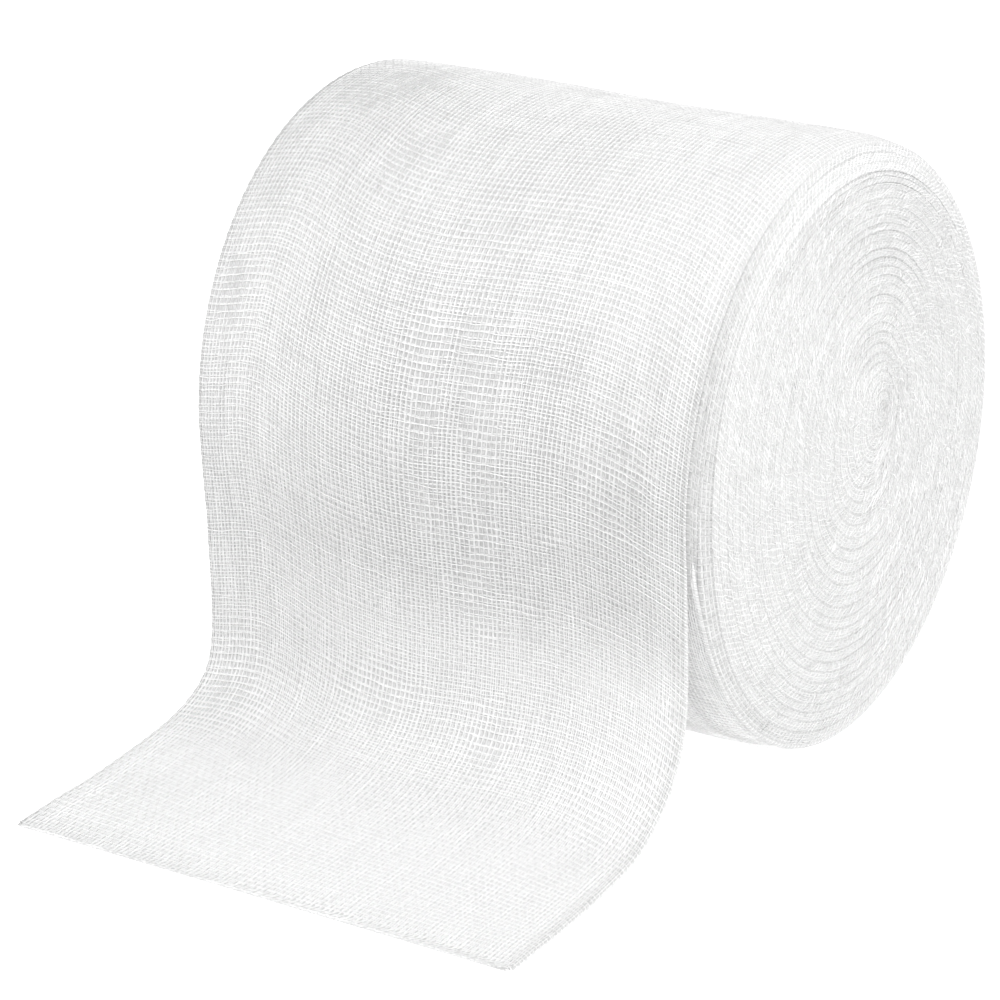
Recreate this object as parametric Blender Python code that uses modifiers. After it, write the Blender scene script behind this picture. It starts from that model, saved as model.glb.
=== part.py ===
"""A roll of folded cotton gauze, with its loose end hanging down the front and run out flat.

Metres, +Z up. X is the roll's axis, the loose end lies towards -Y, and the origin is on the
surface under the middle of the whole. Angles in the roll's section start at +Y and go up over
the top, so the front is at 180 degrees and the bottom at 270.
"""

import math
from collections import namedtuple

import bmesh
import bpy
from mathutils import Vector

MM = 0.001

# The cloth: several plies folded into one band
CLOTH_WIDTH = 100 * MM
CLOTH_THICKNESS = 1.5 * MM
TURN_PITCH = 1.8 * MM
CLEARANCE = 0.35 * MM

# The roll's section, an oval that leans forward at the top
AXIS_Y = 25.75 * MM
AXIS_Z = 54.6 * MM
MEAN_RADIUS = 55.8 * MM
OVAL_RISE = 1.7 * MM
OVAL_LEAN = math.radians(130)
EGG_RISE = 0.3 * MM
EGG_LEAN = math.radians(9)
LEAVING_ANGLE = math.radians(187)

# The eye, where the winding began, behind and above the section's middle. The turns drift towards
# it faster near the outside, so they lie loosest at the front.
EYE_BACK = 12 * MM
EYE_UP = 3.7 * MM
EYE_OVAL = 0.18
EYE_LEAN = math.radians(82)
EYE_DRIFT = 0.8
EYE_SINK = 1.6 * MM

# The slack rims: the outer turns' edges sag in by RIM_SAG, over RIM_REACH of the width, and the
# winding is tighter at the -X end
LEFT, RIGHT = -1, 1
RIM_SLACK = {RIGHT: 1.0, LEFT: 0.45}
RIM_SAG = 1.3 * MM
RIM_REACH = 7 * MM
RIM_SAG_DEPTH = 8 * MM
SHOULDER = 0.5 * MM

# Soft unevenness of the round side
SWELL = 0.22 * MM
SWELL_LENGTH = 63 * MM
SWELLS_ROUND = 3

# The bands of turns on an end face, from the outside in. set_back is how far a band's edges
# stand behind the end plane at the slack end, and groove how much deeper the crease on its outer
# side is.
Band = namedtuple("Band", "width set_back groove")
BANDS = [
    Band(1.8 * MM, 1.0 * MM, 1.2 * MM),
    Band(1.8 * MM, 0.6 * MM, 0.7 * MM),
    Band(1.8 * MM, 0.4 * MM, 0.7 * MM),
    Band(3.6 * MM, 0.2 * MM, 1.9 * MM),
    Band(5.4 * MM, 0.0 * MM, 0.8 * MM),
    Band(7.2 * MM, 0.0 * MM, 0.7 * MM),
    Band(7.2 * MM, 0.2 * MM, 0.8 * MM),
    Band(9.0 * MM, 0.2 * MM, 0.7 * MM),
    Band(7.2 * MM, 0.6 * MM, 0.9 * MM),
    Band(5.4 * MM, 1.0 * MM, 1.3 * MM),
    Band(3.0 * MM, 1.5 * MM, 0.8 * MM),
]
LINES_A_BAND = 3
LAST_BAND = len(BANDS) - 1

# How finely the section and the round side are cut
SEGMENTS = 72
SIDE_STATIONS = [2.4, 4.2, 6.8, 12, 22, 33, 44, 56, 67, 78, 88, 93.2, 95.8, 97.6]

# The loose end's middle surface at its two side edges, in rows across it from the roll to the
# free end: y from the roll's axis and z from the surface. proud is how far the cloth between the
# edges stands out from them. Over ON_ROLL_SHARE of its length the sheet widens from the drawn-in
# rims of the roll to its full width.
Row = namedtuple("Row", "y_left z_left y_right z_right proud")
ROWS = [
    Row(-52.0 * MM, 40.0 * MM, -52.4 * MM, 40.4 * MM, 0.8 * MM),
    Row(-51.4 * MM, 31.2 * MM, -52.4 * MM, 32.0 * MM, 0.5 * MM),
    Row(-50.8 * MM, 23.4 * MM, -53.2 * MM, 24.2 * MM, 0.4 * MM),
    Row(-50.8 * MM, 16.6 * MM, -55.2 * MM, 18.0 * MM, 0.3 * MM),
    Row(-51.9 * MM, 11.6 * MM, -58.0 * MM, 13.2 * MM, 0.3 * MM),
    Row(-54.4 * MM, 8.2 * MM, -61.4 * MM, 9.6 * MM, 0.2 * MM),
    Row(-58.5 * MM, 5.7 * MM, -65.8 * MM, 6.4 * MM, 0.2 * MM),
    Row(-63.9 * MM, 3.9 * MM, -71.2 * MM, 4.1 * MM, 0.1 * MM),
    Row(-71.4 * MM, 2.6 * MM, -78.5 * MM, 2.7 * MM, 0.0 * MM),
    Row(-79.4 * MM, 1.7 * MM, -85.8 * MM, 1.7 * MM, 0.0 * MM),
    Row(-87.6 * MM, 1.0 * MM, -92.8 * MM, 1.0 * MM, 0.0 * MM),
    Row(-95.4 * MM, 0.75 * MM, -98.8 * MM, 0.75 * MM, 0.0 * MM),
    Row(-102.8 * MM, 0.75 * MM, -103.8 * MM, 0.75 * MM, 0.0 * MM),
    Row(-106.7 * MM, 0.75 * MM, -106.9 * MM, 0.75 * MM, 0.0 * MM),
]
STEPS_A_ROW = 3
ON_ROLL_SHARE = 0.33
ACROSS = [0.0, 1.2, 3.0, 6, 11, 18, 26, 34, 42, 50, 58, 66, 74, 82, 89, 94, 97, 98.8, 100.0]
RIPPLE = 0.3 * MM
RIPPLE_LENGTH = 37 * MM
RIPPLE_DRIFT = 0.35
EDGE_ROUND = 0.5 * MM
CORNER_ROUND = {RIGHT: 1.6 * MM, LEFT: 0.3 * MM}

FOLD_ANGLE = math.radians(60)
SHARP_ANGLE = math.radians(50)


def mix(first, second, share):
    return first + (second - first) * share


def ease(share):
    share = min(max(share, 0.0), 1.0)
    return share * share * (3 - 2 * share)


def outline_radius(angle):
    """The oval's radius, before the winding's own slow step inward."""
    oval = OVAL_RISE * math.cos(2 * (angle - OVAL_LEAN))
    egg = EGG_RISE * math.cos(3 * (angle - EGG_LEAN))
    return MEAN_RADIUS + oval + egg


def section_point(angle, depth, edge, swell=0.0):
    """(y, z) of the winding at this depth under the outline, sagged by this share of RIM_SAG."""
    depth += RIM_SAG * math.exp(-depth / RIM_SAG_DEPTH) * edge
    left = max(1 - depth / MEAN_RADIUS, 0.0)
    inward = 1 - left
    eye_radius = MEAN_RADIUS * (1 + EYE_OVAL * math.cos(2 * (angle - EYE_LEAN)))
    radius = left * mix(outline_radius(angle), eye_radius, inward) + swell
    drift = inward**EYE_DRIFT
    y = AXIS_Y + EYE_BACK * drift + radius * math.cos(angle)
    z = AXIS_Z + EYE_UP * drift + radius * math.sin(angle)
    return y, max(z, 0.0)


def end_lines(slack):
    """(depth, distance behind the end plane) of each line that the end face is cut along."""
    lines = []
    depth = 0.0
    for band in BANDS:
        back = band.set_back * slack
        lines.append((depth, back + band.groove))
        lines.append((depth + SHOULDER, back))
        lines.append((depth + band.width - SHOULDER, back))
        depth += band.width
    return lines


def end_face(mesh, side):
    """Lays the end face's grid, which winds inward: one turn on, a line meets the next band's.

    Returns the loop of points around its outside, and leaves the face closed at the eye.
    """
    slack = RIM_SLACK[side]
    lines = end_lines(slack)
    last = LAST_BAND * LINES_A_BAND
    points = {}

    def point(line, step):
        if step == SEGMENTS and line + LINES_A_BAND <= last:
            line, step = line + LINES_A_BAND, 0
        if (line, step) not in points:
            share = step / SEGMENTS
            now = lines[line]
            after = lines[min(line + LINES_A_BAND, len(lines) - 1)]
            depth = mix(now[0], after[0], share)
            back = mix(now[1], after[1], share)
            angle = LEAVING_ANGLE - share * math.tau
            y, z = section_point(angle, depth, slack)
            x = side * (CLOTH_WIDTH / 2 - back)
            points[line, step] = mesh.verts.new((x, y, z))
        return points[line, step]

    for line in range(last):
        for step in range(SEGMENTS):
            corners = [
                point(line, step),
                point(line, step + 1),
                point(line + 1, step + 1),
                point(line + 1, step),
            ]
            mesh.faces.new(corners)
    core_angle = LEAVING_ANGLE - math.pi / 2
    core_depth = MEAN_RADIUS - BANDS[-1].width / 2
    core_y, core_z = section_point(core_angle, core_depth, slack)
    core = mesh.verts.new((side * (CLOTH_WIDTH / 2 - EYE_SINK), core_y, core_z))
    inside = [point(last, step) for step in range(SEGMENTS + 1)]
    inside += [point(last - back, SEGMENTS) for back in range(1, LINES_A_BAND)]
    for here, there in zip(inside, inside[1:] + inside[:1]):
        mesh.faces.new((here, there, core))
    outside = [point(0, step) for step in range(SEGMENTS + 1)]
    return outside + [point(line, 0) for line in range(LINES_A_BAND - 1, 0, -1)]


def side_loop(mesh, from_end):
    """The round side's section at this distance from the +X end, with the outermost turn's step."""
    x = CLOTH_WIDTH / 2 - from_end
    slack = RIM_SLACK[RIGHT if x > 0 else LEFT]
    edge = 1 - ease((CLOTH_WIDTH / 2 - abs(x)) / RIM_REACH)
    loop = []
    for step in range(SEGMENTS + 1):
        share = step / SEGMENTS
        angle = LEAVING_ANGLE - share * math.tau
        wave = math.sin(math.tau * x / SWELL_LENGTH + SWELLS_ROUND * angle) * math.sin(share * math.pi)
        swell = SWELL * wave * (1 - edge)
        y, z = section_point(angle, share * TURN_PITCH, edge * slack, swell)
        loop.append(mesh.verts.new((x, y, z)))
    lines = end_lines(slack)
    for line in range(LINES_A_BAND - 1, 0, -1):
        y, z = section_point(LEAVING_ANGLE, lines[line][0], edge * slack)
        loop.append(mesh.verts.new((x, y, z)))
    return loop


def wound_roll():
    """The wound body: two end faces of spiral bands, joined by a loft along the round side."""
    mesh = bmesh.new()
    loops = [end_face(mesh, RIGHT)]
    loops += [side_loop(mesh, from_end * MM) for from_end in SIDE_STATIONS]
    loops.append(end_face(mesh, LEFT))
    for near, far in zip(loops, loops[1:]):
        for here in range(len(near)):
            there = (here + 1) % len(near)
            mesh.faces.new((near[here], near[there], far[there], far[here]))
    bmesh.ops.recalc_face_normals(mesh, faces=mesh.faces)
    return mesh


def smooth_row(rows, place):
    """The row at this place between two rows, on a smooth curve through all of them."""
    at = min(int(place), len(rows) - 2)
    share = place - at
    four = [rows[min(max(at + shift, 0), len(rows) - 1)] for shift in (-1, 0, 1, 2)]
    values = []
    for before, start, end, after in zip(*four):
        slope_in = (end - before) / 2
        slope_out = (after - start) / 2
        bend = 3 * (end - start) - 2 * slope_in - slope_out
        twist = 2 * (start - end) + slope_in + slope_out
        values.append(start + share * (slope_in + share * (bend + share * twist)))
    return Row(*values)


def first_row():
    """Where the cloth leaves the roll, just under the outermost turn's step."""
    angle = LEAVING_ANGLE + CLEARANCE / MEAN_RADIUS
    edges = []
    for side in (LEFT, RIGHT):
        radius = outline_radius(angle) - CLOTH_THICKNESS / 2 - RIM_SAG * RIM_SLACK[side]
        edges += [radius * math.cos(angle), AXIS_Z + radius * math.sin(angle)]
    return Row(*edges, RIM_SAG)


def loose_end():
    """The free cloth's middle surface, cut from its rows, for Solidify to thicken."""
    mesh = bmesh.new()
    rows = [first_row()] + ROWS
    count = (len(rows) - 1) * STEPS_A_ROW
    sections = [smooth_row(rows, step / STEPS_A_ROW) for step in range(count + 1)]
    grid = []
    for step, row in enumerate(sections):
        free = step / count
        ripple_share = math.sin(free * math.pi) ** 2
        drawn_in = {}
        for side in (LEFT, RIGHT):
            on_roll = BANDS[0].set_back * RIM_SLACK[side] * (1 - ease(free / ON_ROLL_SHARE))
            drawn_in[side] = CORNER_ROUND[side] if step == count else on_roll
        before = sections[max(step - 1, 0)]
        after = sections[min(step + 1, count)]
        line = []
        for from_left in ACROSS:
            share = from_left / ACROSS[-1]
            y = mix(row.y_left, row.y_right, share)
            z = mix(row.z_left, row.z_right, share)
            run = Vector((0, after.y_left - before.y_left, after.z_left - before.z_left))
            outward = run.normalized().cross(Vector((1, 0, 0)))
            inside = ease(min(share, 1 - share) * CLOTH_WIDTH / RIM_REACH)
            wave = math.sin(math.tau * (share * CLOTH_WIDTH / RIPPLE_LENGTH + RIPPLE_DRIFT * free))
            proud = row.proud * mix(RIM_SLACK[LEFT], RIM_SLACK[RIGHT], share)
            rise = (proud + RIPPLE * wave * ripple_share) * inside
            left_edge = drawn_in[LEFT] - CLOTH_WIDTH / 2
            right_edge = CLOTH_WIDTH / 2 - drawn_in[RIGHT]
            x = mix(left_edge, right_edge, share)
            y += AXIS_Y + outward.y * rise
            z += outward.z * rise
            line.append(mesh.verts.new((x, y, max(z, CLOTH_THICKNESS / 2))))
        grid.append(line)
    for near, far in zip(grid, grid[1:]):
        for here in range(len(ACROSS) - 1):
            mesh.faces.new((near[here], far[here], far[here + 1], near[here + 1]))
    bmesh.ops.recalc_face_normals(mesh, faces=mesh.faces)
    return mesh


def cotton(name, colour, roughness):
    material = bpy.data.materials.new(name)
    material.use_nodes = True
    shader = material.node_tree.nodes["Principled BSDF"]
    shader.inputs["Base Color"].default_value = (*colour, 1)
    shader.inputs["Roughness"].default_value = roughness
    shader.inputs["Metallic"].default_value = 0
    return material


def add_object(name, built, material, collection):
    mesh = bpy.data.meshes.new(name)
    built.to_mesh(mesh)
    built.free()
    mesh.shade_smooth()
    mesh.set_sharp_from_angle(angle=SHARP_ANGLE)
    mesh.materials.append(material)
    made = bpy.data.objects.new(name, mesh)
    collection.objects.link(made)
    return made


def main():
    for old in list(bpy.data.objects):
        bpy.data.objects.remove(old)
    collection = bpy.data.collections.new("gauze_bandage_roll")
    bpy.context.scene.collection.children.link(collection)
    wound_cotton = cotton("wound_cotton", (0.90, 0.90, 0.89), 0.95)
    loose_cotton = cotton("loose_cotton", (0.93, 0.93, 0.92), 0.95)
    add_object("wound_roll", wound_roll(), wound_cotton, collection)
    sheet = add_object("loose_end", loose_end(), loose_cotton, collection)
    thicken = sheet.modifiers.new("thickness", "SOLIDIFY")
    thicken.thickness = CLOTH_THICKNESS
    thicken.offset = 0
    thicken.use_even_offset = True
    soften = sheet.modifiers.new("folded edges", "BEVEL")
    soften.width = EDGE_ROUND
    soften.segments = 2
    soften.limit_method = "ANGLE"
    soften.angle_limit = FOLD_ANGLE


main()
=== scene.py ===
"""The look of a gauze bandage roll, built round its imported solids.

Metres, +Z up, X along the roll's axis. Places on the cloth are told by two lengths: `across` from
its left fold to its right one, and `along` from where it leaves the roll towards its free end.
"""

import math
from collections import namedtuple

import bmesh
import bpy
import numpy as np
from mathutils import Matrix, Vector


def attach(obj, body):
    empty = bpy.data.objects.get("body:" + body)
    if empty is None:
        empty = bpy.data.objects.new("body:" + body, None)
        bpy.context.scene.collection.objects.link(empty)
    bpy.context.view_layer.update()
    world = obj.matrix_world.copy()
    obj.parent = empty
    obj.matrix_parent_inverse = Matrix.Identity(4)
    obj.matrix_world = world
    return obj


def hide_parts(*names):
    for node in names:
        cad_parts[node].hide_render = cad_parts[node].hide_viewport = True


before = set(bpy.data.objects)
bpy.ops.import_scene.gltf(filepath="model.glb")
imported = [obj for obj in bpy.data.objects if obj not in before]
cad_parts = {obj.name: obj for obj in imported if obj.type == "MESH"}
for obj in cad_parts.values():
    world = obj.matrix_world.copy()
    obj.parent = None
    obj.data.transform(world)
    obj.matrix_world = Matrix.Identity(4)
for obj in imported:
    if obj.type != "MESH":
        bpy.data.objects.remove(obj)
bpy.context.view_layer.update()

# The outermost turn and the loose end
# Bleached cotton gauze, folded lengthwise into a soft band of several plies. It goes once round
# the roll, leaves it at the front and lies out on the surface: one length, fixed by nothing.
MM = 0.001
BAND_WIDTH = 100 * MM
BAND_THICKNESS = 1.5 * MM
FOLD_RADIUS = BAND_THICKNESS / 2
FLAT_WIDTH = BAND_WIDTH - BAND_THICKNESS
TURN_PITCH = 1.8 * MM

# The roll's section: angles go from the back up over the top to the front
AXIS_Y = 25.75 * MM
AXIS_Z = 54.6 * MM
MEAN_RADIUS = 55.8 * MM
OVAL_RISE = 1.7 * MM
OVAL_LEAN = math.radians(130)
EGG_RISE = 0.3 * MM
EGG_LEAN = math.radians(9)
LEAVING_ANGLE = math.radians(187)
EYE_BACK = 12 * MM
EYE_UP = 3.7 * MM
EYE_OVAL = 0.18
EYE_LEAN = math.radians(82)
EYE_DRIFT = 0.8
EYE_TIP_BACK = 2.8 * MM
EYE_TIP_FROM = 0.72

# How the rims of the slack outer turns sag and are drawn in at the two ends
LEFT, RIGHT = -1, 1
RIM_SLACK = {LEFT: 0.45, RIGHT: 1.0}
RIM_SAG = 1.3 * MM
RIM_REACH = 7 * MM
RIM_SAG_DEPTH = 8 * MM
DRAWN_IN_LEAVING = 1.0 * MM
DRAWN_IN_STARTING = 0.6 * MM
DRAWN_IN_TUCKED = 0.7 * MM
TUCKED_FROM = 0.95
CORNER_ROUND = {LEFT: 0.3 * MM, RIGHT: 1.6 * MM}
SWELL = 0.22 * MM
SWELL_LENGTH = 63 * MM
SWELLS_ROUND = 3

# The loose end's middle surface at its two side edges, row by row from the roll to the free end
Row = namedtuple("Row", "y_left z_left y_right z_right proud")
LOOSE_ROWS = [
    Row(-52.0, 40.0, -52.4, 40.4, 0.8),
    Row(-51.4, 31.2, -52.4, 32.0, 0.5),
    Row(-50.8, 23.4, -53.2, 24.2, 0.4),
    Row(-50.8, 16.6, -55.2, 18.0, 0.3),
    Row(-51.9, 11.6, -58.0, 13.2, 0.3),
    Row(-54.4, 8.2, -61.4, 9.6, 0.2),
    Row(-58.5, 5.7, -65.8, 6.4, 0.2),
    Row(-63.9, 3.9, -71.2, 4.1, 0.1),
    Row(-71.4, 2.6, -78.5, 2.7, 0.0),
    Row(-79.4, 1.7, -85.8, 1.7, 0.0),
    Row(-87.6, 1.0, -92.8, 1.0, 0.0),
    Row(-95.4, 0.75, -98.8, 0.75, 0.0),
    Row(-102.8, 0.75, -103.8, 0.75, 0.0),
    Row(-106.7, 0.75, -106.9, 0.75, 0.0),
]
ON_ROLL_SHARE = 0.33
RIPPLE = 0.3 * MM
RIPPLE_LENGTH = 37 * MM
RIPPLE_DRIFT = 0.35
END_THICKNESS = 0.85 * MM
THIN_REACH = 11 * MM
LIP_RADIUS = 0.35 * MM

# The grid that every place on the cloth is read from. It starts behind the loose end, tucked in by
# this share of a turn, and is softened where the cloth leaves the roll.
TUCK = 0.04
ROLL_STEPS = 1500
STEPS_A_ROW = 24
GRID_COLUMNS = 81
GRID_STEP = 1 * MM
SHORT_OF_LAST = 1.001
LEAVING_SOFTNESS = 3 * MM
LEAVING_REACH = 8 * MM


def mix(first, second, share):
    return first + (second - first) * share


def ease(share):
    share = np.clip(share, 0.0, 1.0)
    return share * share * (3 - 2 * share)


def bump(value, middle, wide, power=2):
    """1 at the middle, and falling to 0 on both sides of it."""
    return np.exp(-(((value - middle) / wide) ** power))


def outline_radius(angle):
    oval = OVAL_RISE * np.cos(2 * (angle - OVAL_LEAN))
    return MEAN_RADIUS + oval + EGG_RISE * np.cos(3 * (angle - EGG_LEAN))


def section_point(angle, depth, sag, swell=0.0):
    """(y, z) of the winding at this depth under its outline, sagged by this share of RIM_SAG."""
    depth = depth + RIM_SAG * np.exp(-depth / RIM_SAG_DEPTH) * sag
    left = np.maximum(1 - depth / MEAN_RADIUS, 0.0)
    inward = np.maximum(1 - left, 0.0)
    eye_radius = MEAN_RADIUS * (1 + EYE_OVAL * np.cos(2 * (angle - EYE_LEAN)))
    radius = left * mix(outline_radius(angle), eye_radius, inward) + swell
    drift = inward**EYE_DRIFT
    tip = ease((inward - EYE_TIP_FROM) / (1 - EYE_TIP_FROM))
    y = AXIS_Y + EYE_BACK * drift + EYE_TIP_BACK * tip + radius * np.cos(angle)
    z = AXIS_Z + EYE_UP * drift + radius * np.sin(angle)
    return y, np.maximum(z, 0.0)


def smooth_rows(table, places):
    """Rows read from a smooth curve through a table's rows, at these places between them."""
    at = np.clip(places.astype(int), 0, len(table) - 2)
    share = (places - at)[:, None]
    before, start = table[np.maximum(at - 1, 0)], table[at]
    end, after = table[at + 1], table[np.minimum(at + 2, len(table) - 1)]
    slope_in, slope_out = (end - before) / 2, (after - start) / 2
    bend = 3 * (end - start) - 2 * slope_in - slope_out
    twist = 2 * (start - end) + slope_in + slope_out
    return start + share * (slope_in + share * (bend + share * twist))


def soften(values, steps, axis=0):
    """Evens values out over this many steps along an axis, taken as closed on itself."""
    waves = np.fft.fftfreq(values.shape[axis])
    shape = [1] * values.ndim
    shape[axis] = -1
    kept = np.exp(-2 * (math.pi * waves * steps) ** 2).reshape(shape)
    return np.fft.ifft(np.fft.fft(values, axis=axis) * kept, axis=axis).real


def x_between_folds(across, drawn_in, tip=0.0):
    """x at this share of the band's width, between side folds that are drawn in this far."""
    low = -BAND_WIDTH / 2 + FOLD_RADIUS + drawn_in * RIM_SLACK[LEFT] + tip * CORNER_ROUND[LEFT]
    high = BAND_WIDTH / 2 - FOLD_RADIUS - drawn_in * RIM_SLACK[RIGHT] - tip * CORNER_ROUND[RIGHT]
    return mix(low, high, across)


def roll_face(share):
    """The outermost turn's outer face, with a row of points for each share of the turn."""
    across = np.linspace(0, 1, GRID_COLUMNS)[None, :]
    share = share[:, None]
    angle = LEAVING_ANGLE - share * math.tau
    drawn_in = mix(DRAWN_IN_LEAVING, DRAWN_IN_STARTING, share)
    tucked = ease((share - TUCKED_FROM) / (1 + TUCK - TUCKED_FROM))
    x = x_between_folds(across, drawn_in + DRAWN_IN_TUCKED * tucked)
    edge = 1 - ease((BAND_WIDTH / 2 - np.abs(x)) / RIM_REACH)
    slack = np.where(x > 0, RIM_SLACK[RIGHT], RIM_SLACK[LEFT])
    wave = np.sin(math.tau * x / SWELL_LENGTH + SWELLS_ROUND * angle) * np.sin(share * math.pi)
    swell = SWELL * wave * (1 - edge)
    y, z = section_point(angle + 0 * x, share * TURN_PITCH + 0 * x, edge * slack, swell)
    return np.stack([x, y, z], axis=-1)


def loose_face():
    """The loose end's upper face, with a row of points for each step between its table's rows."""
    edges = []
    for side in (LEFT, RIGHT):
        radius = outline_radius(LEAVING_ANGLE) - FOLD_RADIUS - RIM_SAG * RIM_SLACK[side]
        edges.append(radius * math.cos(LEAVING_ANGLE))
        edges.append(AXIS_Z + radius * math.sin(LEAVING_ANGLE))
    table = np.vstack([[*edges, RIM_SAG], np.array(LOOSE_ROWS) * MM])
    count = (len(table) - 1) * STEPS_A_ROW
    free = (np.arange(1, count + 1) / count)[:, None]
    columns = smooth_rows(table, free[:, 0] * (len(table) - 1)).T
    y_left, z_left, y_right, z_right, proud = (column[:, None] for column in columns)
    across = np.linspace(0, 1, GRID_COLUMNS)[None, :]
    length = np.hypot(np.diff(columns[0]), np.diff(columns[1])).sum()
    tip = np.clip(1 - (1 - free) * length / CORNER_ROUND[RIGHT], 0, 1)
    drawn_in = DRAWN_IN_LEAVING * (1 - ease(free / ON_ROLL_SHARE))
    x = x_between_folds(across, drawn_in, 1 - np.sqrt(1 - tip**2))
    y = AXIS_Y + mix(y_left, y_right, across)
    z = mix(z_left, z_right, across)
    run_y, run_z = np.gradient(y, axis=0), np.gradient(z, axis=0)
    size = np.hypot(run_y, run_z)
    out_y, out_z = run_z / size, -run_y / size
    inside = ease(np.minimum(across, 1 - across) * BAND_WIDTH / RIM_REACH)
    wave = np.sin(math.tau * (across * BAND_WIDTH / RIPPLE_LENGTH + RIPPLE_DRIFT * free))
    wave *= np.sin(free * math.pi) ** 2
    proud = proud * mix(RIM_SLACK[LEFT], RIM_SLACK[RIGHT], across)
    rise = (proud + RIPPLE * wave) * inside
    z = np.maximum(z + out_z * rise, FOLD_RADIUS) + out_z * FOLD_RADIUS
    return np.stack([x, y + out_y * (rise + FOLD_RADIUS), z], axis=-1)


def length_to(points):
    """How far each row of points lies along the cloth from the first one, on average."""
    steps = np.linalg.norm(np.diff(points, axis=0), axis=-1).mean(axis=1)
    return np.concatenate([[0.0], np.cumsum(steps)])


wound = roll_face(np.linspace(1 + TUCK, 0, ROLL_STEPS))
WOUND_LENGTH = length_to(wound)[-1]
band_face = np.concatenate([wound, loose_face()])
band_along = length_to(band_face) - WOUND_LENGTH
LOOSE_LENGTH = band_along[-1]
grid_rows = round((WOUND_LENGTH + LOOSE_LENGTH) / GRID_STEP)
grid_along = np.linspace(-WOUND_LENGTH, LOOSE_LENGTH, grid_rows)
grid_pitch = grid_along[1] - grid_along[0]
band_face = band_face.reshape(len(band_face), -1).T
face_grid = np.stack([np.interp(grid_along, band_along, column) for column in band_face], axis=-1)
face_grid = face_grid.reshape(len(grid_along), GRID_COLUMNS, 3)
near_leaving = bump(grid_along, 0, LEAVING_REACH)[:, None, None]
softened = soften(face_grid, LEAVING_SOFTNESS / grid_pitch)
face_grid = mix(face_grid, softened, near_leaving)
near_end = ease((grid_along - LOOSE_LENGTH + THIN_REACH) / THIN_REACH)
face_grid[:, :, 2] -= (BAND_THICKNESS - END_THICKNESS) * near_end[:, None]
outward_grid = np.cross(np.gradient(face_grid, axis=0), np.gradient(face_grid, axis=1))
outward_grid /= np.linalg.norm(outward_grid, axis=-1, keepdims=True)


def read_grid(grid, across, along):
    """Values of a grid over the cloth's flat part, read between its points."""
    row = np.clip((along - grid_along[0]) / grid_pitch, 0, len(grid) - SHORT_OF_LAST)
    column = np.clip(across / FLAT_WIDTH, 0, 1) * (GRID_COLUMNS - SHORT_OF_LAST)
    i, j = row.astype(int), column.astype(int)
    down, right = (row - i)[..., None], (column - j)[..., None]
    near = mix(grid[i, j], grid[i, j + 1], right)
    return mix(near, mix(grid[i + 1, j], grid[i + 1, j + 1], right), down)


def on_cloth(across, along, lift):
    """The place and the outward direction at a point, lifted off the cloth's outer face.

    Past its flat part the cloth goes round its side fold, and past its end round the upper lip.
    """
    place = read_grid(face_grid, across, along)
    outward = read_grid(outward_grid, across, along)
    outward /= np.linalg.norm(outward, axis=-1, keepdims=True)
    beyond = np.maximum(np.maximum(-across, across - FLAT_WIDTH), 0) / FOLD_RADIUS
    side = np.where(across < 0, -1.0, 1.0)[..., None] * np.array([1.0, 0.0, 0.0])
    past = np.maximum(along - LOOSE_LENGTH, 0) / LIP_RADIUS
    radius = np.where(past > 0, LIP_RADIUS, FOLD_RADIUS)[..., None]
    turn, ahead = beyond[..., None], side
    turn = np.where((past > 0)[..., None], past[..., None], turn)
    ahead = np.where((past > 0)[..., None], np.array([0.0, -1.0, 0.0]), side)
    facing = outward * np.cos(turn) + ahead * np.sin(turn)
    return place - outward * radius + facing * (radius + np.asarray(lift)[..., None]), facing


def add_piece(name, points, faces, material, edges=()):
    """A new shown object from points and faces, its faces turned outward and shaded smooth."""
    mesh = bpy.data.meshes.new(name)
    mesh.from_pydata(np.asarray(points).reshape(-1, 3).tolist(), edges, faces)
    if faces:
        shape = bmesh.new()
        shape.from_mesh(mesh)
        bmesh.ops.recalc_face_normals(shape, faces=shape.faces)
        shape.to_mesh(mesh)
        shape.free()
        mesh.shade_smooth()
    mesh.materials.append(material)
    made = bpy.data.objects.new(name, mesh)
    bpy.context.scene.collection.objects.link(made)
    return made


def loft(rings):
    """Faces of a closed tube through rings of points, one ring after another, with end caps."""
    rows, columns = rings.shape[:2]
    faces = [tuple(range(columns)), tuple(range((rows - 1) * columns, rows * columns))]
    for start in range(0, (rows - 1) * columns, columns):
        for column in range(columns):
            after = (column + 1) % columns
            end = start + columns
            faces.append((start + column, end + column, end + after, start + after))
    return faces


def set_values(mesh, name, kind, values):
    """A named value for each point of a mesh."""
    attribute = mesh.attributes.new(name, kind, "POINT")
    field = "vector" if kind == "FLOAT_VECTOR" else "value"
    attribute.data.foreach_set(field, np.asarray(values, np.float32).ravel())


def add(tree, kind, inputs=(), **settings):
    """Adds a node. An input is a plain value, or a node or socket that it is linked from."""
    made = tree.nodes.new(kind)
    for name, value in settings.items():
        setattr(made, name, value)
    for socket, value in dict(inputs).items():
        if isinstance(value, bpy.types.Node):
            value = value.outputs[0]
        if isinstance(value, bpy.types.NodeSocket):
            tree.links.new(value, made.inputs[socket])
        else:
            made.inputs[socket].default_value = value
    return made


def linear(code):
    """A colour written as sRGB hex, as the linear numbers that a socket takes."""
    parts = [int(code[at : at + 2], 16) / 255 for at in (1, 3, 5)]
    return (*(p / 12.92 if p <= 0.04045 else ((p + 0.055) / 1.055) ** 2.4 for p in parts), 1.0)


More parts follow.
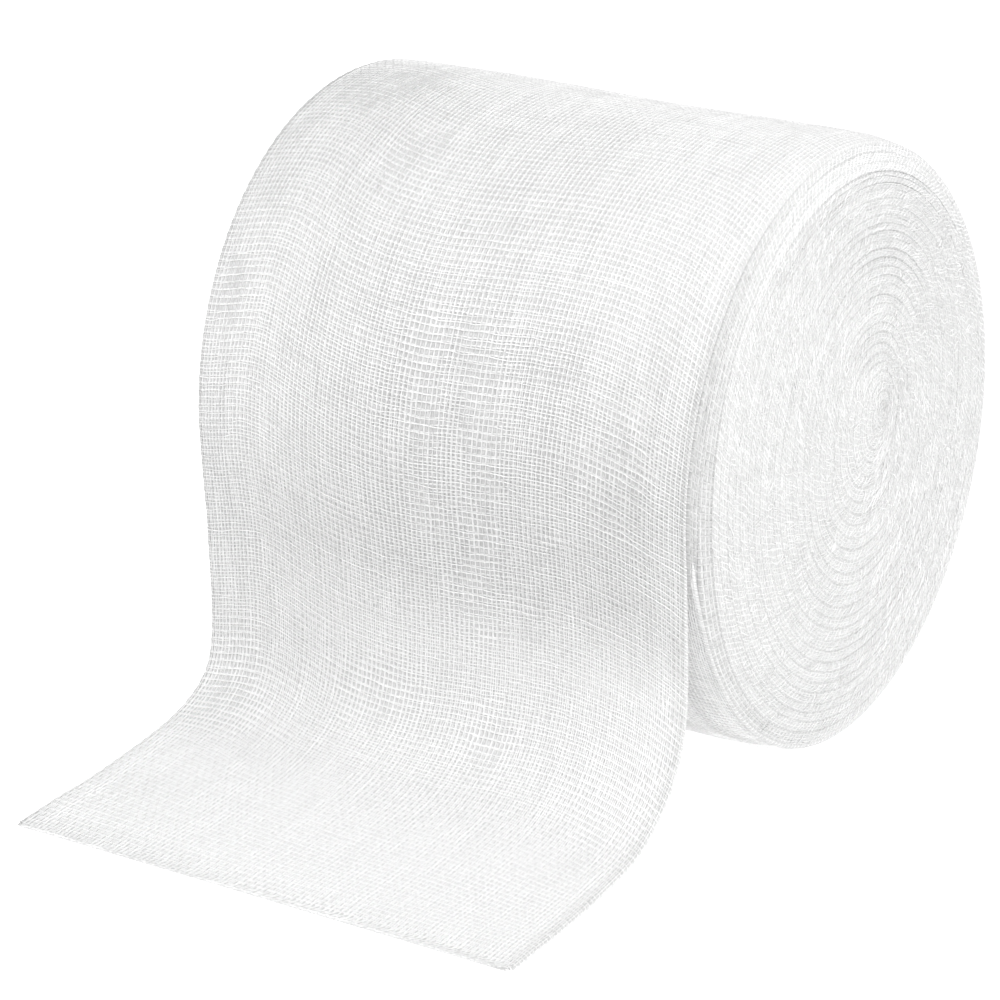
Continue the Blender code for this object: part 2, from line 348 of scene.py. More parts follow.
# 111 warp threads show on the outer face, crowded a little at its edges, and the weft crosses them
# every 1.3 mm. It is bowed: from the left it rises, drops, runs level and drops again. The bow is
# told in mm and fades out towards the free end.
WARPS = 111
EDGE_CROWDING = 0.1
WEFT_PITCH = 1.3 * MM
WEFT_BOW = [
    (0, 0.0), (6, -1.6), (11, -2.6), (15, -2.0), (21, 0.3), (28, 2.6), (34, 3.6), (40, 4.3),
    (47, 4.4), (56, 3.7), (66, 3.0), (75, 2.9), (82, 3.4), (90, 5.1), (95, 7.0), (100, 9.8),
    (103, 12.0),
]
BOW_FADES_FROM = 10 * MM
BOW_SOFTNESS = 2
warp_share = np.linspace(0, 1, WARPS)
warp_across = warp_share - EDGE_CROWDING * np.sin(math.tau * warp_share) / math.tau
warp_across = warp_across * FLAT_WIDTH
bow_end = WEFT_BOW[-1][0]
bow_places = np.linspace(0, bow_end * MM, bow_end + 1)
bow_shifts = np.interp(bow_places, *(np.array(WEFT_BOW).T * MM))
there_and_back = np.concatenate([bow_shifts, bow_shifts[::-1]])
bow_shifts = soften(there_and_back, BOW_SOFTNESS)[: len(bow_places)]


def bow(across, along):
    """How far a weft thread lies past its place at the left fold."""
    full = 1 - ease((along - BOW_FADES_FROM) / (LOOSE_LENGTH - BOW_FADES_FROM))
    return np.interp(across + FOLD_RADIUS, bow_places, bow_shifts) * full


# Zones where the second ply's threads lie nearly straight under the first's, so that their holes
# fall together and look darker. Outside them they lie between the first's threads.
Zone = namedtuple("Zone", "across along wide long")
PLIES_IN_STEP = [
    Zone(55.5, -33, 4.0, 6),
    Zone(59.0, -27, 4.5, 11),
    Zone(60.5, -14, 4.0, 10),
    Zone(59.0, 0, 4.0, 9),
    Zone(58.0, 12, 5.0, 8),
    Zone(46.5, -31, 3.5, 7),
    Zone(47.5, -18, 3.0, 9),
    Zone(48.0, -5, 4.0, 7),
    Zone(86.5, -18, 7.0, 11),
    Zone(38.0, 34, 9.0, 7),
    Zone(63.0, 37, 5.0, 6),
    Zone(7.0, 41, 7.0, 8),
    Zone(5.5, -32, 4.0, 10),
    Zone(30.0, -64, 7.0, 9),
    Zone(12.0, -90, 8.0, 16),
    Zone(74.0, -120, 8.0, 20),
    Zone(40.0, -160, 7.0, 22),
    Zone(66.0, -210, 9.0, 18),
    Zone(20.0, -240, 8.0, 20),
    Zone(82.0, -280, 8.0, 16),
]
NEARLY_IN_STEP = 0.35
ZONE_HEART = 0.3
ZONE_FADE = 1.5


def out_of_step(across, along):
    """0 where the second ply's threads lie under the first's, to 1 where they lie between them."""
    apart = np.ones_like(across)
    for zone in PLIES_IN_STEP:
        side = (across - zone.across * MM) / (zone.wide * MM)
        down = (along - zone.along * MM) / (zone.long * MM)
        outside = ease((np.hypot(side, down) - ZONE_HEART) / ZONE_FADE)
        apart = np.minimum(apart, mix(NEARLY_IN_STEP, 1.0, outside))
    return apart


# How open the cloth looks along its left, its middle and its right: where it lies flat its plies
# fill each other's holes, and where it is bent round the front of the roll and hangs they part
OPENNESS = [
    (-350, 0.00, 0.00, 0.00),
    (-325, 0.25, 0.30, 0.34),
    (-300, 0.30, 0.34, 0.38),
    (-270, 0.28, 0.28, 0.28),
    (-200, 0.25, 0.20, 0.18),
    (-120, 0.10, 0.07, 0.04),
    (-100, 0.24, 0.16, 0.05),
    (-80, 0.44, 0.32, 0.08),
    (-60, 0.47, 0.42, 0.17),
    (-45, 0.48, 0.54, 0.32),
    (-30, 0.55, 0.78, 0.62),
    (-12, 0.60, 0.88, 0.96),
    (8, 0.72, 0.86, 0.88),
    (22, 0.62, 0.50, 0.42),
    (36, 0.54, 0.46, 0.32),
    (50, 0.42, 0.34, 0.20),
    (62, 0.20, 0.08, 0.00),
    (83, 0.15, 0.05, 0.00),
    (90, 0.40, 0.30, 0.25),
    (96, 0.70, 0.60, 0.60),
]


def openness(across, along):
    table = np.array(OPENNESS).T
    left, middle, right = (np.interp(along, table[0] * MM, column) for column in table[1:])
    share = 2 * np.clip(across / FLAT_WIDTH, 0, 1)
    return np.where(share < 1, mix(left, middle, ease(share)), mix(middle, right, ease(share - 1)))


def rising(length, start, over):
    """0 up to a start in mm, and from there up to 1 over this many mm."""
    return ease((length - start * MM) / (over * MM))


def rising_before(length, start, over):
    """The other way round: up to 1 over this many mm before a start, and 0 after it."""
    return ease((start * MM - length) / (over * MM))


# How dark the painted shade on the side folds is
FOLD_PAINTED_SHADE = 0.8


def painted_fold_shading(across, along):
    """Painted shade on the side folds, where they face down or sideways away from the light: the
    left one all along, and the right one at the front and under the roll. The rest of the cloth
    gets none."""
    beyond = np.maximum(-across, across - FLAT_WIDTH)
    on_fold = rising(beyond, -1, 1.5) * (1 - rising(beyond, 0.5, 1))
    front = rising(along, -75, 45)
    below = rising_before(along, -240, 50) * rising(along, -352, 20)
    return FOLD_PAINTED_SHADE * on_fold * np.where(across < MM, 1.0, front + below)


# Single fibres are about 0.02 mm thick, too fine to show, so their fluff is drawn this coarse
FLUFF_SIZE = 0.45 * MM


def fluff_noise(tree):
    """The fine unevenness that fibres fluffed up all over the cotton give it."""
    place = add(tree, "ShaderNodeTexCoord").outputs["Object"]
    noise = {"Vector": place, "Scale": 1 / FLUFF_SIZE, "Detail": 2.0}
    return add(tree, "ShaderNodeTexNoise", noise)


# The second ply's threads, told in thread spacings: half their width, where their soft edge starts
# and ends, how far they wander, and the size of those swings and of the spots in their holes
WARP_HALF = 0.17
WEFT_HALF = 0.13
EDGE_START, EDGE_END = 0.6, 1.6
PLY_WANDER = 0.35
WANDER_SIZE = 1 / 0.6
SPOT_SIZE = 1 / 1.4
PLY_RELIEF = 0.2 * MM


def gauze_under_gauze(name, hole_shades, plies):
    """Bleached gauze seen through gauze: soft pale threads a little below, with grey-white holes
    between them that are never dark, because more plies lie under them. The holes' grey is painted
    shade of those plies, deeper where the cloth is parted, and the threads' greyer colour there is
    painted shade too. Both colours are told as where the cloth lies close and where it is parted."""
    material = bpy.data.materials.new(name)
    material.use_nodes = True
    tree = material.node_tree
    shader = tree.nodes["Principled BSDF"]
    numbers = add(tree, "ShaderNodeAttribute", attribute_name="thread_numbers").outputs["Vector"]
    wave = add(tree, "ShaderNodeTexNoise", {"Vector": numbers, "Scale": 1 / WANDER_SIZE})
    strength = {0: wave.outputs["Color"], 1: (-0.5, -0.5, -0.5)}
    centred = add(tree, "ShaderNodeVectorMath", strength, operation="ADD")
    waved = {0: centred, 1: (PLY_WANDER, PLY_WANDER, 0), 2: numbers}
    waved = add(tree, "ShaderNodeVectorMath", waved, operation="MULTIPLY_ADD")
    parts = add(tree, "ShaderNodeSeparateXYZ", {0: waved})
    masks = []
    for part, half in ((0, WARP_HALF), (1, WEFT_HALF)):
        distance = {0: parts.outputs[part], 1: 0.5}
        distance = add(tree, "ShaderNodeMath", distance, operation="PINGPONG")
        fall = {"Value": distance, "From Min": half * EDGE_START, "From Max": half * EDGE_END}
        fall.update({"To Min": 1.0, "To Max": 0.0})
        masks.append(add(tree, "ShaderNodeMapRange", fall, interpolation_type="SMOOTHSTEP"))
    threads = add(tree, "ShaderNodeMath", {0: masks[0], 1: masks[1]}, operation="MAXIMUM")
    opened = add(tree, "ShaderNodeAttribute", attribute_name="openness").outputs["Fac"]
    spots = add(tree, "ShaderNodeTexNoise", {"Vector": numbers, "Scale": 1 / SPOT_SIZE})
    spots = {"Value": spots, "From Min": 0.3, "From Max": 0.7, "To Min": 0.35, "To Max": 1.3}
    spots = add(tree, "ShaderNodeMapRange", spots)
    # Painted shade in the holes, deeper where the cloth is parted, and uneven in spots
    deep = add(tree, "ShaderNodeMath", {0: opened, 1: spots}, operation="MULTIPLY")
    hole_shade = {0: deep, 6: linear(hole_shades[0]), 7: linear(hole_shades[1])}
    hole_shade = add(tree, "ShaderNodeMix", hole_shade, data_type="RGBA")
    ply = {0: opened, 6: linear(plies[0]), 7: linear(plies[1])}
    ply = add(tree, "ShaderNodeMix", ply, data_type="RGBA")
    colours = {0: threads, 6: hole_shade.outputs[2], 7: ply.outputs[2]}
    colour = add(tree, "ShaderNodeMix", colours, data_type="RGBA")
    shade = {"Value": fluff_noise(tree), "From Min": 0.4, "From Max": 0.75, "To Max": 0.35}
    shade = add(tree, "ShaderNodeMapRange", shade)
    shaded = {0: shade, 6: colour.outputs[2], 7: linear(hole_shades[1])}
    colour = add(tree, "ShaderNodeMix", shaded, data_type="RGBA")
    relief = add(tree, "ShaderNodeBump", {"Height": threads, "Distance": PLY_RELIEF})
    tree.links.new(colour.outputs[2], shader.inputs["Base Color"])
    tree.links.new(relief.outputs[0], shader.inputs["Normal"])
    shader.inputs["Roughness"].default_value = 0.92
    shader.inputs["Specular IOR Level"].default_value = 0.2
    return material


# How far the second ply lies under the outer face where the cloth is close, where it is open, and
# on the underside, how finely it is laid out, and the wavy lip that closes its free end
CLOSE_DROP = 0.05 * MM
OPEN_DROP = 0.32 * MM
UNDER_DROP = 0.02 * MM
ROLL_ROWS = 150
LOOSE_ROWS_SHOWN = 72
FACE_COLUMNS = 45
UNDER_COLUMNS = 15
FOLD_COLUMNS = 5
START_OPEN = 0.2
Lip = namedtuple("Lip", "ahead open")
LIPS = [Lip(0.17, 0.90), Lip(0.27, 0.65), Lip(0.31, 0.38), Lip(0.31, 0.10)]
LIP_WAVE = 0.35
LIP_WAVE_LENGTH = 31 * MM
LIP_WAVE_RATES = (math.tau, 4.1)
CLOSES_PAST_FOLD = 0.8


def band_rings():
    """Closed rings round the flattened band, from its tucked start to its parted free end, and
    the lengths across and along at each of their points."""
    round_fold = np.linspace(0, math.pi, FOLD_COLUMNS + 2)[1:-1]
    face = np.linspace(0, FLAT_WIDTH, FACE_COLUMNS)
    under = np.linspace(FLAT_WIDTH, 0, UNDER_COLUMNS)
    right, left = FLAT_WIDTH + round_fold * FOLD_RADIUS, -round_fold[::-1] * FOLD_RADIUS
    across = np.concatenate([face, right, under, left])
    turned = np.concatenate([0 * face, round_fold, math.pi + 0 * under, round_fold[::-1]])
    on_roll = np.linspace(grid_along[0], 0, ROLL_ROWS)[:-1]
    off_roll = np.linspace(0, LOOSE_LENGTH - LIP_RADIUS, LOOSE_ROWS_SHOWN)
    along = np.concatenate([on_roll, off_roll])
    across, along = np.meshgrid(across, along)
    face_drop = mix(CLOSE_DROP, OPEN_DROP, openness(across, along))
    drop = mix(face_drop, UNDER_DROP, ease(turned / (math.pi / 2)))
    rings, _ = on_cloth(across, along, 0 * across - drop)
    outward = read_grid(outward_grid, across, along)
    face_places = read_grid(face_grid, across, along)
    below = (turned >= math.pi)[None, :, None]
    rings = np.where(below, face_places - outward * (BAND_THICKNESS - UNDER_DROP), rings)
    rings[:, :, 2] = np.maximum(rings[:, :, 2], 0.0)
    start = rings[:1].copy()
    middle = face_places - outward * FOLD_RADIUS
    start[0, :, 2] = mix(middle[0, :, 2], start[0, :, 2], START_OPEN)
    tips = []
    for lip in LIPS:
        tip = rings[-1].copy()
        wave = sum(np.sin(rate * tip[:, 0] / LIP_WAVE_LENGTH) for rate in LIP_WAVE_RATES)
        tip[:, 1] -= lip.ahead * MM * (1 + LIP_WAVE * wave / 2)
        tip[:, 2] = mix(END_THICKNESS / 2, tip[:, 2], lip.open)
        tips.append(tip)
    rings = np.concatenate([start, rings, tips])
    before, after = np.zeros(1, int), np.full(len(LIPS), len(along) - 1)
    rows = np.concatenate([before, np.arange(len(along)), after])
    return rings, across[rows], along[rows]


rings, ring_across, ring_along = band_rings()
# The holes' greys and the second ply's greyer colour where parted are painted shade of the plies
# beneath
BAND_HOLE_SHADES = ("#e3e3e3", "#bababa")
BAND_PLIES = ("#fcfcfc", "#e8e8e8")
second_ply = gauze_under_gauze("bleached_gauze_second_ply", BAND_HOLE_SHADES, BAND_PLIES)
band = add_piece("gauze_band", rings, loft(rings), second_ply)
apart = out_of_step(ring_across, ring_along)
weft_number = (ring_along - bow(ring_across, ring_along)) / WEFT_PITCH + 0.5 * apart
warp_number = np.interp(ring_across, warp_across, np.arange(WARPS)) + 0.5 * apart
numbers = np.stack([warp_number, weft_number, 0 * apart], axis=-1)
set_values(band.data, "thread_numbers", "FLOAT_VECTOR", numbers)
past_fold = np.maximum(-ring_across, ring_across - FLAT_WIDTH) / FOLD_RADIUS
ring_openness = openness(ring_across, ring_along) * (1 - CLOSES_PAST_FOLD * ease(past_fold))
# Painted shade on the side folds: their holes and second ply as grey as where the cloth is most
# open
ring_openness = mix(ring_openness, 1.0, painted_fold_shading(ring_across, ring_along))
set_values(band.data, "openness", "FLOAT", ring_openness)
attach(band, "root")
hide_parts("loose_end")

# The outer ply's threads
# Single cotton yarns, loosely spun and plainly woven, each over one and under the next. They go
# on round both side folds and over the upper lip of the free end.
YARN_RADIUS = 0.10 * MM
WEAVE_LIFT = -0.10 * MM
FOLD_SINK = 0.04 * MM
CRIMP = 0.07 * MM
SLUB = 0.55
SLUB_LENGTH = 3 * MM
ROUND_FOLD = np.radians([40, 85, 130])
OVER_LIP = np.radians([30, 70, 110])
FIRST_WEFT = -355 * MM
FLUFF_TONE = 1.2
YARN_TONES = ("#cecece", "#fdfdfd")


def wander(shape, reach, size, seed):
    """Seeded smooth random values of this size, whose swings are `reach` steps on each axis."""
    field = np.random.default_rng(seed).standard_normal(shape)
    for axis, steps in enumerate(reach):
        field = soften(field, steps, axis)
    return size * (field - field.mean()) / field.std()


def cotton_yarn():
    """Bleached, loosely spun cotton: a bright matt white, a little brighter on some yarns,
    and with the painted light and shade carried in each yarn's tone.
    """
    material = bpy.data.materials.new("bleached_cotton_yarn")
    material.use_nodes = True
    tree = material.node_tree
    shader = tree.nodes["Principled BSDF"]
    tone = add(tree, "ShaderNodeAttribute", attribute_name="tone")
    fluff = add(tree, "ShaderNodeMath", {0: fluff_noise(tree), 1: 0.5}, operation="SUBTRACT")
    uneven = {0: fluff, 1: FLUFF_TONE, 2: tone.outputs["Fac"]}
    uneven = add(tree, "ShaderNodeMath", uneven, operation="MULTIPLY_ADD")
    colours = {0: uneven, 6: linear(YARN_TONES[0]), 7: linear(YARN_TONES[1])}
    colour = add(tree, "ShaderNodeMix", colours, data_type="RGBA")
    tree.links.new(colour.outputs[2], shader.inputs["Base Color"])
    shader.inputs["Roughness"].default_value = 0.88
    shader.inputs["Specular IOR Level"].default_value = 0.25
    shader.inputs["Sheen Weight"].default_value = 0.1
    shader.inputs["Sheen Roughness"].default_value = 0.5
    return material


def yarn_tree():
    """Geometry Nodes that thread a round, uneven yarn along each run of edges."""
    tree = bpy.data.node_groups.new("spun_yarn", "GeometryNodeTree")
    sockets = (
        ("Paths", "NodeSocketGeometry"),
        ("Radius", "NodeSocketFloat"),
        ("Crimp", "NodeSocketFloat"),
        ("Slub", "NodeSocketFloat"),
        ("Slub Length", "NodeSocketFloat"),
        ("Material", "NodeSocketMaterial"),
    )
    for name, kind in sockets:
        tree.interface.new_socket(name, in_out="INPUT", socket_type=kind)
    tree.interface.new_socket("Yarns", in_out="OUTPUT", socket_type="NodeSocketGeometry")
    sizes = add(tree, "NodeGroupInput").outputs
    facing, over, plump = (
        add(tree, "GeometryNodeInputNamedAttribute", {0: name}, data_type=kind)
        for name, kind in (("facing", "FLOAT_VECTOR"), ("over", "FLOAT"), ("plump", "FLOAT"))
    )
    rise = add(tree, "ShaderNodeMath", {0: over, 1: sizes["Crimp"]}, operation="MULTIPLY")
    offset = add(tree, "ShaderNodeVectorMath", {0: facing, "Scale": rise}, operation="SCALE")
    woven = add(tree, "GeometryNodeSetPosition", {0: sizes["Paths"], "Offset": offset})
    paths = add(tree, "GeometryNodeMeshToCurve", {0: woven})
    pitch = add(tree, "ShaderNodeMath", {0: 1.0, 1: sizes["Slub Length"]}, operation="DIVIDE")
    noise = add(tree, "ShaderNodeTexNoise", {"Scale": pitch, "Detail": 1.0})
    centred = add(tree, "ShaderNodeMath", {0: noise, 1: 0.5}, operation="SUBTRACT")
    uneven = {0: centred, 1: sizes["Slub"], 2: plump}
    uneven = add(tree, "ShaderNodeMath", uneven, operation="MULTIPLY_ADD")
    profile = add(tree, "GeometryNodeCurvePrimitiveCircle", {"Resolution": 3})
    tree.links.new(sizes["Radius"], profile.inputs["Radius"])
    sweep = {"Curve": paths, "Profile Curve": profile, "Scale": uneven, "Fill Caps": True}
    tubes = add(tree, "GeometryNodeCurveToMesh", sweep)
    smooth = add(tree, "GeometryNodeSetShadeSmooth", {0: tubes})
    finish = {"Geometry": smooth, "Material": sizes["Material"]}
    finished = add(tree, "GeometryNodeSetMaterial", finish)
    realized = add(tree, "GeometryNodeRealizeInstances", {0: finished})
    add(tree, "NodeGroupOutput", {0: realized})
    return tree


def grow(piece, tree, **sizes):
    """Runs a Geometry Nodes tree on a piece with these sizes, and keeps its result as the mesh."""
    modifier = piece.modifiers.new(tree.name, "NODES")
    modifier.node_group = tree
    for item in tree.interface.items_tree:
        if item.in_out == "INPUT" and item.name in sizes:
            modifier[item.identifier] = sizes[item.name]
    depsgraph = bpy.context.evaluated_depsgraph_get()
    grown = bpy.data.meshes.new_from_object(piece.evaluated_get(depsgraph), depsgraph=depsgraph)
    piece.modifiers.clear()
    plain, piece.data = piece.data, grown
    bpy.data.meshes.remove(plain)
    grown.name = piece.name


cotton = cotton_yarn()
spun_yarn = yarn_tree()


def lay_yarns(name, slot, places, facing, over, plump, tone):
    """One piece of yarns through rows of places, one yarn a row."""
    count, length = places.shape[:2]
    starts = (np.arange(count)[:, None] * length + np.arange(length - 1)).ravel()
    edges = np.stack([starts, starts + 1], axis=-1).tolist()
    piece = add_piece(name, places, [], cotton, edges)
    set_values(piece.data, "facing", "FLOAT_VECTOR", facing)
    for value_name, values in (("over", over), ("plump", plump), ("tone", tone)):
        set_values(piece.data, value_name, "FLOAT", values + np.zeros((count, length)))
    sizes = {"Radius": YARN_RADIUS, "Crimp": CRIMP, "Slub": SLUB, "Slub Length": SLUB_LENGTH}
    grow(piece, spun_yarn, Material=cotton, **sizes)
    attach(piece, "root")
    return piece


WEFT_LEVEL = -0.45
WEFT_COVERS = 1.25
UPPER_RIGHT_PULL = 0.8
LOWER_RIGHT_PULL = 0.4
WEFT_CRIMP = 0.8
PRESSED_CRIMP = 0.15


def weft_proud(across, along):
    """How far the weft lies over the warp, in crimps. It covers the warp at the front, but less at
    the upper right and the lower right, where the cloth is pulled lengthways. Elsewhere the warp
    comes up instead."""
    share = across / FLAT_WIDTH
    front = bump(along, -6 * MM, 46 * MM, 4)
    lower_right = bump(along, 45 * MM, 30 * MM) * ease(share)
    upper_right = ease((share - 0.55) / 0.35) * rising_before(along, -18, 25)
    covered = WEFT_COVERS * front * (1 - UPPER_RIGHT_PULL * upper_right)
    return WEFT_LEVEL + covered - LOWER_RIGHT_PULL * lower_right


# How thick each set of yarns looks, and how bright where the cloth is close, open or lying on the
# surface. The change from close to open is painted light and shade: the wefts lighter and the
# warps darker where the cloth is open at the front, as top light catches the wefts. Where it lies
# on the surface, facing the light, both are painted lighter. The side folds, the free end and the
# upper front get this much painted shade.
Yarn = namedtuple("Yarn", "plump plump_uneven close_tone open_tone lying_tone tone_uneven")
WARP = Yarn(0.80, 0.10, 0.74, 0.24, 0.40, 0.14)
WEFT = Yarn(0.94, 0.12, 0.60, 1.00, 0.34, 0.13)
SIDE_FOLD_PAINTED_SHADE = 0.45
FREE_END_PAINTED_SHADE = 0.35
UPPER_FRONT_PAINTED_SHADE = 0.14
wefts = np.arange(FIRST_WEFT, LOOSE_LENGTH - LIP_RADIUS, WEFT_PITCH)
lips = LOOSE_LENGTH + OVER_LIP * LIP_RADIUS
fold_places = ROUND_FOLD * FOLD_RADIUS
columns = np.concatenate([-fold_places[::-1], warp_across, FLAT_WIDTH + fold_places])
rows = np.concatenate([wefts, lips])
grid_shape = (len(rows), len(columns))
in_flat = ((columns > -MM / 10) & (columns < FLAT_WIDTH + MM / 10))[None, :]
on_band = (rows < LOOSE_LENGTH - LIP_RADIUS)[:, None]
sideways = wander(grid_shape, (20, 0.5), 0.05 * MM, 11)
sideways = sideways + wander(grid_shape, (0.6, 0.3), 0.06 * MM, 12)
across = columns[None, :] + sideways * in_flat
lengthways = wander(grid_shape, (0.4, 7), 0.07 * MM, 13)
lengthways = lengthways + wander(grid_shape, (3, 4), 0.07 * MM, 14)
lengthways = lengthways + wander(grid_shape, (0.4, 1.1), 0.09 * MM, 15)
along = rows[:, None] + lengthways * on_band
along = np.where(on_band, np.minimum(along + bow(across, rows[:, None]), LOOSE_LENGTH), along)
sunk = rising_before(along, -80, 40) * ~in_flat
places, facing = on_cloth(across, along, WEAVE_LIFT - FOLD_SINK * sunk)
places[:, :, 2] = np.maximum(places[:, :, 2], YARN_RADIUS)
number = np.arange(len(rows))[:, None] + np.arange(len(columns))[None, :]
alternate = np.where(number % 2 == 0, 1.0, -1.0)
weft_up = weft_proud(across, along)
pressed = mix(PRESSED_CRIMP, 1.0, rising(along, -112, 50))
warp_over = (alternate - weft_up) * pressed
weft_over = (-alternate * WEFT_CRIMP + weft_up) * pressed
warp_plump = WARP.plump + wander(grid_shape, (9, 0.4), WARP.plump_uneven, 16)
weft_plump = WEFT.plump + wander(grid_shape, (0.4, 9), WEFT.plump_uneven, 17)
opened = openness(across, along)
# Where the cloth lies on the surface, facing the light, its yarns are painted lighter
lying = rising(along, 0, 36)
at_end = rising(along - LOOSE_LENGTH, -1.5, 1.5)
# Painted shade on the side folds, at the free end and on the upper front, taken off the yarns' tone
painted_shade = SIDE_FOLD_PAINTED_SHADE * painted_fold_shading(across, along) + FREE_END_PAINTED_SHADE * at_end
painted_shade = painted_shade + UPPER_FRONT_PAINTED_SHADE * bump(along, -66 * MM, 28 * MM)
warp_tone = mix(WARP.close_tone, WARP.open_tone, opened) + WARP.lying_tone * lying - painted_shade
warp_tone = warp_tone + wander(grid_shape, (2, 0.5), WARP.tone_uneven, 18)
weft_tone = mix(WEFT.close_tone, WEFT.open_tone, opened) + WEFT.lying_tone * lying - painted_shade
weft_tone = weft_tone + wander(grid_shape, (0.5, 2), WEFT.tone_uneven, 19)
leaving = int(np.searchsorted(rows, 0.0))
yarn_pieces = []
for part, slot, first, last in (
    ("barrel", "wound_cotton", 0, leaving + 1),
    ("loose", "loose_cotton", leaving, len(rows)),
):
    block = slice(first, last)
    there, out = places[block], facing[block]
    warp_values = (warp_over[block].T, warp_plump[block].T, warp_tone[block].T)
    there_across, out_across = there.transpose(1, 0, 2), out.transpose(1, 0, 2)
    warps = lay_yarns(f"{part}_warp_yarns", slot, there_across, out_across, *warp_values)
    weft_block = slice(first, last - 1) if part == "barrel" else block
    there, out = places[weft_block], facing[weft_block]
    weft_values = (weft_over[weft_block], weft_plump[weft_block], weft_tone[weft_block])
    yarn_pieces += [warps, lay_yarns(f"{part}_weft_yarns", slot, there, out, *weft_values)]

# The turns' folded edges
# On each end face the wound band shows its folded side edge, turn inside turn, from the tucked
# start of the outermost turn to the eye. The folds stand a little higher or lower, and they part in
# creases where they are slack.
LAST_TURN = MEAN_RADIUS / TURN_PITCH
FIRST_TURN = 0.965
START_BACK = 0.9 * MM
START_TURNS = 0.06

# How far the folds just under the outermost turn reach out beneath it, in mm by turn
UNDER_BAND = [
    (0.965, 0.0), (1.0, 0.5), (1.04, 0.95), (1.62, 0.95), (1.78, 0.6),
    (1.85, 0.8), (1.91, 1.15), (1.96, 1.5), (2.03, 1.5), (2.45, 0.0),
]
SPIRAL_STEPS = 24000
FOLD_STEP = 1.6 * MM
FEWEST_STEPS_A_TURN = 24
FOLD_PROFILE = np.array([-1.0, -0.78, -0.42, 0.0, 0.42, 0.78, 1.0])
BACK_POINTS = [5, 1]
FOLD_BACK = 2.2 * MM

# How far the folds stand back from the widest ones, in mm by turn
SET_BACKS = [
    (1, 1.05), (2, 0.68), (3, 0.45), (4, 0.25), (5, 0.1), (6, 0.0),
    (10, 0.0), (15, 0.2), (21, 0.6), (25, 1.0), (28, 1.05), (32, 0.9),
]

# The grooves between the folds, shallower at the front and, on the outer turns, at the top
GROOVE = 0.11 * MM
GROOVE_UNEVEN = 0.07 * MM
LEAST_GROOVE = 0.01 * MM
Shallow = namedtuple("Shallow", "angle share before_turn")
SHALLOW_GROOVES = [Shallow(165, 0.75, math.inf), Shallow(85, 0.8, 9)]
SHALLOW_WIDE = 50
FRONT_ANGLE = 178
FRONT_WIDE = 30
FRONT_ROUND = 0.2 * MM
ROUND_TURNS = 1.9

# Deeper creases in mm, between two angles on a turn, and places where the folds have shifted inward
# or outward
CREASE_SHARE = 0.17
Crease = namedtuple("Crease", "turn start end depth")
CREASES = {
    RIGHT: [
        Crease(3, 225, 292, 0.25),
        Crease(4, 125, 5, 1.6),
        Crease(7, 215, 282, 0.2),
        Crease(8, 108, 66, 0.25),
        Crease(11, 112, -5, 0.35),
        Crease(10, 230, 296, 0.15),
        Crease(14, 205, 290, 0.2),
        Crease(15, 108, 40, 0.3),
        Crease(17, 114, 55, 0.3),
        Crease(23, 118, 35, 0.45),
        Crease(24, 120, 25, 0.55),
    ],
    LEFT: [
        Crease(3, 60, -70, 0.4),
        Crease(4, 150, 96, 0.3),
        Crease(8, 100, 10, 0.3),
        Crease(11, 210, 280, 0.25),
        Crease(16, 95, 20, 0.3),
        Crease(20, 160, 60, 0.2),
        Crease(25, 130, 20, 0.4),
        Crease(28, 220, 120, 0.35),
    ],
}
Shift = namedtuple("Shift", "turn angle turns_wide angle_wide move")
SHIFTS = {
    RIGHT: [
        Shift(2, 172, 1.3, 35, 0.8),
        Shift(4, 98, 1.2, 40, 1.0),
        Shift(5, 12, 1.8, 35, -1.2),
    ],
    LEFT: [
        Shift(3, 20, 1.5, 40, 0.7),
        Shift(4, 130, 1.8, 30, -0.5),
    ],
}
# How much painted light the outer folds at the top get
TOP_PAINTED_LIGHT = 0.6


def angle_apart(first, second):
    return (first - second + 180) % 360 - 180


